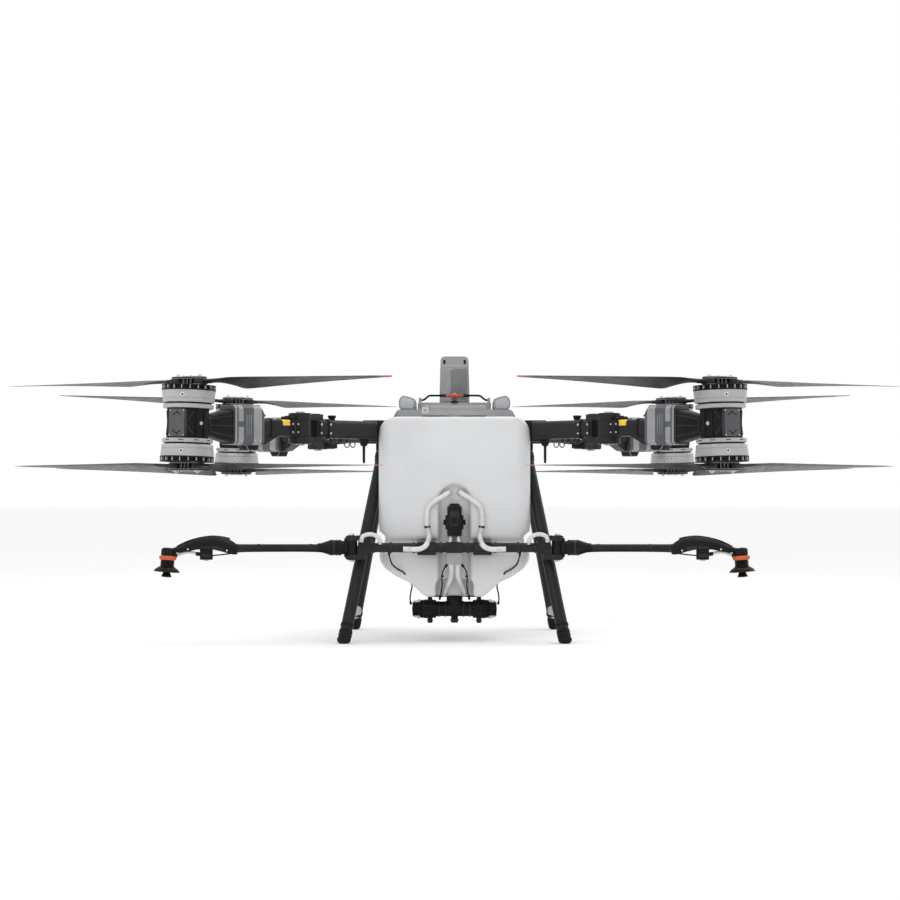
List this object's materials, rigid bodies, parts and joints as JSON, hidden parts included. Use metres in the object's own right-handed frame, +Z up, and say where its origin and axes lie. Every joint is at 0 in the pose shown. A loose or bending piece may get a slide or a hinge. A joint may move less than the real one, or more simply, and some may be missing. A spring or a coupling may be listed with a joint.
{
  "type": "agricultural spray drone",
  "caption": "Folding agricultural spray drone with coaxial rotors on four arms, a large liquid tank and two spray lances on a rear bar.",
  "frame": {"origin": "on the ground under the centre of the four motor stacks", "axes": "+X to the drone's right seen from the rear, +Y forward, away from the tank's rear face, +Z up"},
  "size_m": [2.9256, 2.67, 0.977],
  "materials": {
    "tank_plastic": "semi-gloss moulded, slightly translucent white",
    "shell_grey": "satin painted grey",
    "motor_grey": "satin anodised light grey",
    "esc_grey": "satin anodised mid grey",
    "carbon": "satin carbon tube and black composite",
    "black_plastic": "fine moulded texture",
    "blade_composite": "satin moulded composite, red-orange at the tips",
    "rubber": "matte",
    "orange_plastic": "satin moulded orange",
    "hose_white": "soft satin white hose",
    "steel": "turned and plated"
  },
  "bodies": {
    "root": {"tank": "tank_plastic", "center_frame": "carbon", "arm_roots": "carbon", "hinge_pins": "steel", "body_shell": "shell_grey", "sensor_mast": "shell_grey", "landing_legs": "carbon", "foot_caps": "rubber", "spray_bar": "black_plastic", "pump_unit": "black_plastic", "liquid_hoses": "hose_white", "cables": "black_plastic", "antennas": "black_plastic"},
    "battery": {"battery": "shell_grey"},
    "battery_handle": {"battery_handle": "black_plastic"},
    "battery_latch": {"battery_latch": "orange_plastic"},
    "filler_lid": {"filler_lid": "shell_grey"},
    "front_camera": {"front_camera": "black_plastic"},
    "arm_rear_left": {"arm_rear_left": "carbon", "esc_rear_left": "esc_grey", "mount_rear_left": "black_plastic"},
    "rotor_rear_left_upper": {"rotor_rear_left_upper": "motor_grey"},
    "blade_rear_left_upper_out": {"blade_rear_left_upper_out": "blade_composite"},
    "blade_rear_left_upper_in": {"blade_rear_left_upper_in": "blade_composite"},
    "rotor_rear_left_lower": {"rotor_rear_left_lower": "motor_grey"},
    "blade_rear_left_lower_out": {"blade_rear_left_lower_out": "blade_composite"},
    "blade_rear_left_lower_in": {"blade_rear_left_lower_in": "blade_composite"},
    "arm_front_left": {"arm_front_left": "carbon", "esc_front_left": "esc_grey", "mount_front_left": "black_plastic"},
    "rotor_front_left_upper": {"rotor_front_left_upper": "motor_grey"},
    "blade_front_left_upper_out": {"blade_front_left_upper_out": "blade_composite"},
    "blade_front_left_upper_in": {"blade_front_left_upper_in": "blade_composite"},
    "rotor_front_left_lower": {"rotor_front_left_lower": "motor_grey"},
    "blade_front_left_lower_out": {"blade_front_left_lower_out": "blade_composite"},
    "blade_front_left_lower_in": {"blade_front_left_lower_in": "blade_composite"},
    "arm_rear_right": {"arm_rear_right": "carbon", "esc_rear_right": "esc_grey", "mount_rear_right": "black_plastic"},
    "rotor_rear_right_upper": {"rotor_rear_right_upper": "motor_grey"},
    "blade_rear_right_upper_out": {"blade_rear_right_upper_out": "blade_composite"},
    "blade_rear_right_upper_in": {"blade_rear_right_upper_in": "blade_composite"},
    "rotor_rear_right_lower": {"rotor_rear_right_lower": "motor_grey"},
    "blade_rear_right_lower_out": {"blade_rear_right_lower_out": "blade_composite"},
    "blade_rear_right_lower_in": {"blade_rear_right_lower_in": "blade_composite"},
    "arm_front_right": {"arm_front_right": "carbon", "esc_front_right": "esc_grey", "mount_front_right": "black_plastic"},
    "rotor_front_right_upper": {"rotor_front_right_upper": "motor_grey"},
    "blade_front_right_upper_out": {"blade_front_right_upper_out": "blade_composite"},
    "blade_front_right_upper_in": {"blade_front_right_upper_in": "blade_composite"},
    "rotor_front_right_lower": {"rotor_front_right_lower": "motor_grey"},
    "blade_front_right_lower_out": {"blade_front_right_lower_out": "blade_composite"},
    "blade_front_right_lower_in": {"blade_front_right_lower_in": "blade_composite"},
    "lance_left": {"lance_left": "carbon", "nozzle_left": "orange_plastic"},
    "disc_left": {"disc_left": "black_plastic"},
    "lance_right": {"lance_right": "carbon", "nozzle_right": "orange_plastic"},
    "disc_right": {"disc_right": "black_plastic"}
  },
  "joints": [
    {"name": "arm_rear_left_fold", "type": "hinge", "parent": "root", "child": "arm_rear_left", "pos_m": [-0.498, -0.498, 0.7], "axis": [0, 0, -1], "range_deg": [0, 100]},
    {"name": "rotor_rear_left_upper_spin", "type": "hinge", "parent": "arm_rear_left", "child": "rotor_rear_left_upper", "pos_m": [-0.81979, -0.81979, 0.83662], "axis": [0.0247, 0.0247, 0.9994], "continuous": true},
    {"name": "blade_rear_left_upper_out_fold", "type": "hinge", "parent": "rotor_rear_left_upper", "child": "blade_rear_left_upper_out", "pos_m": [-0.85642, -0.79365, 0.83688], "axis": [0.0247, 0.0247, 0.9994], "range_deg": [0, 80]},
    {"name": "blade_rear_left_upper_in_fold", "type": "hinge", "parent": "rotor_rear_left_upper", "child": "blade_rear_left_upper_in", "pos_m": [-0.78316, -0.84592, 0.83636], "axis": [-0.0247, -0.0247, -0.9994], "range_deg": [0, 80]},
    {"name": "rotor_rear_left_lower_spin", "type": "hinge", "parent": "arm_rear_left", "child": "rotor_rear_left_lower", "pos_m": [-0.82621, -0.82621, 0.57638], "axis": [0.0247, 0.0247, 0.9994], "continuous": true},
    {"name": "blade_rear_left_lower_out_fold", "type": "hinge", "parent": "rotor_rear_left_lower", "child": "blade_rear_left_lower_out", "pos_m": [-0.86143, -0.7982, 0.57656], "axis": [0.0247, 0.0247, 0.9994], "range_deg": [0, 80]},
    {"name": "blade_rear_left_lower_in_fold", "type": "hinge", "parent": "rotor_rear_left_lower", "child": "blade_rear_left_lower_in", "pos_m": [-0.791, -0.85423, 0.5762], "axis": [-0.0247, -0.0247, -0.9994], "range_deg": [0, 80]},
    {"name": "arm_front_left_fold", "type": "hinge", "parent": "root", "child": "arm_front_left", "pos_m": [-0.498, 0.498, 0.7], "axis": [0, 0, 1], "range_deg": [0, 90]},
    {"name": "rotor_front_left_upper_spin", "type": "hinge", "parent": "arm_front_left", "child": "rotor_front_left_upper", "pos_m": [-0.81979, 0.81979, 0.83662], "axis": [-0.0247, 0.0247, -0.9994], "continuous": true},
    {"name": "blade_front_left_upper_out_fold", "type": "hinge", "parent": "rotor_front_left_upper", "child": "blade_front_left_upper_out", "pos_m": [-0.85349, 0.78997, 0.83672], "axis": [-0.0247, 0.0247, -0.9994], "range_deg": [0, 80]},
    {"name": "blade_front_left_upper_in_fold", "type": "hinge", "parent": "rotor_front_left_upper", "child": "blade_front_left_upper_in", "pos_m": [-0.78609, 0.84961, 0.83652], "axis": [0.0247, -0.0247, 0.9994], "range_deg": [0, 80]},
    {"name": "rotor_front_left_lower_spin", "type": "hinge", "parent": "arm_front_left", "child": "rotor_front_left_lower", "pos_m": [-0.82621, 0.82621, 0.57638], "axis": [-0.0247, 0.0247, -0.9994], "continuous": true},
    {"name": "blade_front_left_lower_out_fold", "type": "hinge", "parent": "rotor_front_left_lower", "child": "blade_front_left_lower_out", "pos_m": [-0.85991, 0.79639, 0.57647], "axis": [-0.0247, 0.0247, -0.9994], "range_deg": [0, 80]},
    {"name": "blade_front_left_lower_in_fold", "type": "hinge", "parent": "rotor_front_left_lower", "child": "blade_front_left_lower_in", "pos_m": [-0.79251, 0.85603, 0.57628], "axis": [0.0247, -0.0247, 0.9994], "range_deg": [0, 80]},
    {"name": "arm_rear_right_fold", "type": "hinge", "parent": "root", "child": "arm_rear_right", "pos_m": [0.498, -0.498, 0.7], "axis": [0, 0, 1], "range_deg": [0, 100]},
    {"name": "rotor_rear_right_upper_spin", "type": "hinge", "parent": "arm_rear_right", "child": "rotor_rear_right_upper", "pos_m": [0.81979, -0.81979, 0.83662], "axis": [0.0247, -0.0247, -0.9994], "continuous": true},
    {"name": "blade_rear_right_upper_out_fold", "type": "hinge", "parent": "rotor_rear_right_upper", "child": "blade_rear_right_upper_out", "pos_m": [0.85642, -0.79365, 0.83688], "axis": [0.0247, -0.0247, -0.9994], "range_deg": [0, 80]},
    {"name": "blade_rear_right_upper_in_fold", "type": "hinge", "parent": "rotor_rear_right_upper", "child": "blade_rear_right_upper_in", "pos_m": [0.78316, -0.84592, 0.83636], "axis": [-0.0247, 0.0247, 0.9994], "range_deg": [0, 80]},
    {"name": "rotor_rear_right_lower_spin", "type": "hinge", "parent": "arm_rear_right", "child": "rotor_rear_right_lower", "pos_m": [0.82621, -0.82621, 0.57638], "axis": [0.0247, -0.0247, -0.9994], "continuous": true},
    {"name": "blade_rear_right_lower_out_fold", "type": "hinge", "parent": "rotor_rear_right_lower", "child": "blade_rear_right_lower_out", "pos_m": [0.86143, -0.7982, 0.57656], "axis": [0.0247, -0.0247, -0.9994], "range_deg": [0, 80]},
    {"name": "blade_rear_right_lower_in_fold", "type": "hinge", "parent": "rotor_rear_right_lower", "child": "blade_rear_right_lower_in", "pos_m": [0.791, -0.85423, 0.5762], "axis": [-0.0247, 0.0247, 0.9994], "range_deg": [0, 80]},
    {"name": "arm_front_right_fold", "type": "hinge", "parent": "root", "child": "arm_front_right", "pos_m": [0.498, 0.498, 0.7], "axis": [0, 0, -1], "range_deg": [0, 90]},
    {"name": "rotor_front_right_upper_spin", "type": "hinge", "parent": "arm_front_right", "child": "rotor_front_right_upper", "pos_m": [0.81979, 0.81979, 0.83662], "axis": [-0.0247, -0.0247, 0.9994], "continuous": true},
    {"name": "blade_front_right_upper_out_fold", "type": "hinge", "parent": "rotor_front_right_upper", "child": "blade_front_right_upper_out", "pos_m": [0.85349, 0.78997, 0.83672], "axis": [-0.0247, -0.0247, 0.9994], "range_deg": [0, 80]},
    {"name": "blade_front_right_upper_in_fold", "type": "hinge", "parent": "rotor_front_right_upper", "child": "blade_front_right_upper_in", "pos_m": [0.78609, 0.84961, 0.83652], "axis": [0.0247, 0.0247, -0.9994], "range_deg": [0, 80]},
    {"name": "rotor_front_right_lower_spin", "type": "hinge", "parent": "arm_front_right", "child": "rotor_front_right_lower", "pos_m": [0.82621, 0.82621, 0.57638], "axis": [-0.0247, -0.0247, 0.9994], "continuous": true},
    {"name": "blade_front_right_lower_out_fold", "type": "hinge", "parent": "rotor_front_right_lower", "child": "blade_front_right_lower_out", "pos_m": [0.85991, 0.79639, 0.57647], "axis": [-0.0247, -0.0247, 0.9994], "range_deg": [0, 80]},
    {"name": "blade_front_right_lower_in_fold", "type": "hinge", "parent": "rotor_front_right_lower", "child": "blade_front_right_lower_in", "pos_m": [0.79251, 0.85603, 0.57628], "axis": [0.0247, 0.0247, -0.9994], "range_deg": [0, 80]},
    {"name": "lance_left_fold", "type": "hinge", "parent": "root", "child": "lance_left", "pos_m": [-0.34, -0.335, 0.312], "axis": [0, 0, -1], "range_deg": [0, 78]},
    {"name": "disc_left_spin", "type": "hinge", "parent": "lance_left", "child": "disc_left", "pos_m": [-0.94898, -0.335, 0.22327], "axis": [0.0785, 0, 0.9969], "continuous": true},
    {"name": "lance_right_fold", "type": "hinge", "parent": "root", "child": "lance_right", "pos_m": [0.34, -0.335, 0.312], "axis": [0, 0, 1], "range_deg": [0, 78]},
    {"name": "disc_right_spin", "type": "hinge", "parent": "lance_right", "child": "disc_right", "pos_m": [0.94898, -0.335, 0.22327], "axis": [-0.0785, 0, 0.9969], "continuous": true},
    {"name": "battery_lift", "type": "slide", "parent": "root", "child": "battery", "axis": [0, 0, 1], "range_m": [0, 0.31]},
    {"name": "handle_swing", "type": "hinge", "parent": "battery", "child": "battery_handle", "pos_m": [0, 0.19, 0.818], "axis": [-1, 0, 0], "range_deg": [0, 75]},
    {"name": "latch_turn", "type": "hinge", "parent": "battery", "child": "battery_latch", "pos_m": [0, 0.082, 0.82], "axis": [0, 0, 1], "range_deg": [0, 90]},
    {"name": "lid_open", "type": "hinge", "parent": "root", "child": "filler_lid", "pos_m": [0, -0.148, 0.755], "axis": [-1, 0, 0], "range_deg": [0, 100]},
    {"name": "camera_tilt", "type": "hinge", "parent": "root", "child": "front_camera", "pos_m": [0, 0.35, 0.688], "axis": [1, 0, 0], "range_deg": [-60, 20]}
  ]
}
